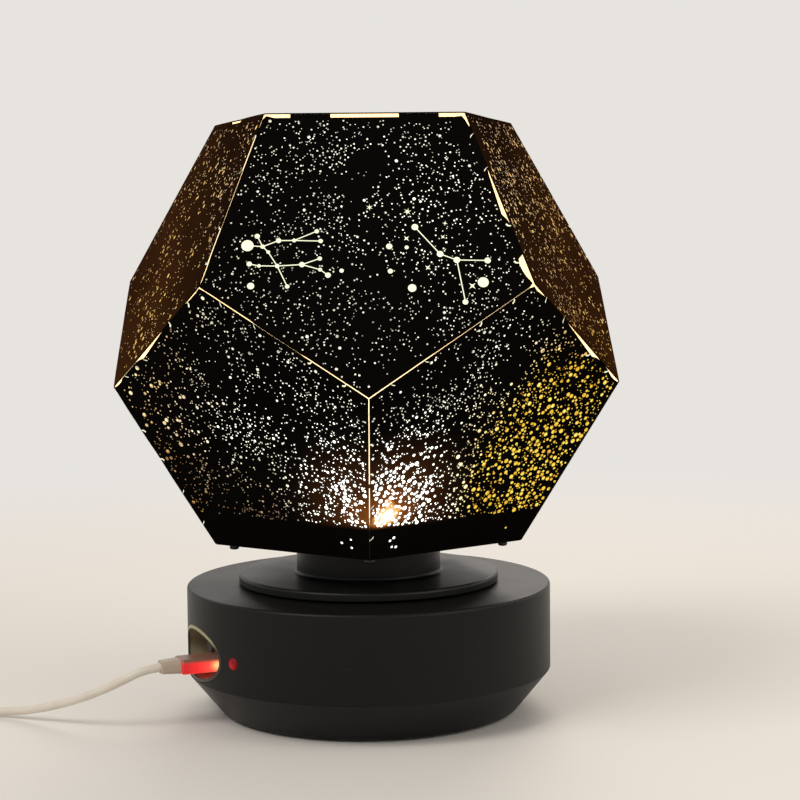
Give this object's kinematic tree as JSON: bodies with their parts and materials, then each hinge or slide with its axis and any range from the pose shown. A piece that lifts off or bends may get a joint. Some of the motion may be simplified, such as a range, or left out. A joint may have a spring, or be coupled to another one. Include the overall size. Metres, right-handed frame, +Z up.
{
  "type": "planetarium projector",
  "caption": "Twelve-sided star-film globe on a motor-driven turntable base, with an inner lamp, side port recess and a plugged-in charging cable.",
  "frame": {"origin": "centre of the base's underside, on the table", "axes": "+Z up along the turntable's axis; -Y is the front, -X the side the cable leaves by"},
  "size_m": [0.2768, 0.1789, 0.2024],
  "materials": {
    "film_black": "satin black printed film with pin-hole stars",
    "black_plastic": "satin moulded black plastic",
    "deck_plastic": "satin moulded black plastic",
    "recess_plastic": "satin dark grey-olive plastic",
    "button_plastic": "satin charcoal plastic",
    "white_nylon": "natural white nylon",
    "spring_steel": "blued spring steel",
    "zinc_steel": "zinc-plated steel",
    "rubber": "matt black rubber",
    "board_green": "green solder mask",
    "chip_black": "moulded epoxy",
    "connector_white": "natural nylon",
    "plated_metal": "bright tin plate",
    "red_lens": "clear red lens",
    "cell_wrap": "silver-grey pouch foil",
    "lead_red": "red and black insulated leads",
    "post_plastic": "natural white plastic",
    "lamp_board_white": "white solder mask on aluminium",
    "emitter_warm": "warm light-emitting chip",
    "emitter_clear": "clear light-emitting chip",
    "motor_steel": "nickel-plated motor can",
    "brass": "brass gearbox plates",
    "plug_translucent": "translucent off-white moulded grip",
    "relief_grey": "satin warm grey soft plastic",
    "cable_white": "satin off-white jacket"
  },
  "bodies": {
    "base": {"thrust_washer": "white_nylon", "base_housing": "black_plastic", "base_plate": "black_plastic", "rubber_feet": "rubber", "case_screws": "zinc_steel", "port_recess": "recess_plastic", "button_switches": "chip_black", "usb_socket": "plated_metal", "main_board": "board_green", "board_chips": "chip_black", "board_connectors": "connector_white", "board_screws": "zinc_steel", "indicator_lens": "red_lens", "indicator_led": "red_lens", "led_holder": "chip_black", "battery": "cell_wrap", "battery_leads": "lead_red", "lamp_post": "post_plastic", "lamp_post_screws": "zinc_steel", "lamp_board": "lamp_board_white", "lamp_led_warm": "emitter_warm", "lamp_leds_colour": "emitter_clear", "lamp_leads": "lead_red", "motor_can": "motor_steel", "motor_gearbox": "brass", "motor_bracket": "white_nylon", "motor_screws": "zinc_steel", "motor_leads": "lead_red"},
    "turntable": {"turntable": "deck_plastic", "drive_gear": "white_nylon", "retaining_ring": "spring_steel"},
    "globe": {"film_upper_1": "film_black", "film_lower_1": "film_black", "film_upper_2": "film_black", "film_lower_2": "film_black", "film_upper_3": "film_black", "film_lower_3": "film_black", "film_upper_4": "film_black", "film_lower_4": "film_black", "film_upper_5": "film_black", "film_lower_5": "film_black", "film_top": "film_black", "film_bottom": "film_black", "globe_tray": "black_plastic", "press_rivets": "black_plastic"},
    "pinion": {"output_shaft": "spring_steel", "motor_pinion": "white_nylon"},
    "light_button": {"light_button": "button_plastic"},
    "spin_button": {"spin_button": "button_plastic"},
    "charging_cable": {"usb_plug_nose": "plated_metal", "usb_plug_grip": "plug_translucent", "usb_strain_relief": "relief_grey", "usb_cable_run": "cable_white", "usb_cable_coil": "cable_white", "usb_cable_tail": "cable_white", "host_plug_grip": "cable_white", "host_plug_shell": "plated_metal"}
  },
  "joints": [
    {"name": "turntable_spin", "type": "hinge", "parent": "base", "child": "turntable", "pos_m": [0, 0, 0.045], "axis": [0, 0, 1], "continuous": true},
    {"name": "pinion_spin", "type": "hinge", "parent": "base", "child": "pinion", "pos_m": [0.03559, -0.00954, 0.031], "axis": [0, 0, 1], "continuous": true},
    {"name": "globe_lift", "type": "slide", "parent": "turntable", "child": "globe", "axis": [0, 0, 1], "range_m": [0, 0.025]},
    {"name": "light_button_press", "type": "slide", "parent": "base", "child": "light_button", "axis": [0.9304, 0.3665, 0], "range_m": [0, 0.0006], "stiffness_N_per_m": 400},
    {"name": "spin_button_press", "type": "slide", "parent": "base", "child": "spin_button", "axis": [0.9304, 0.3665, 0], "range_m": [0, 0.0006], "stiffness_N_per_m": 400},
    {"name": "plug_pull", "type": "slide", "parent": "base", "child": "charging_cable", "axis": [-0.9304, -0.3665, 0], "range_m": [0, 0.0075]}
  ],
  "couplings": [
    {"joint": "pinion_spin", "follows": "turntable_spin", "ratio": -6.6667}
  ]
}
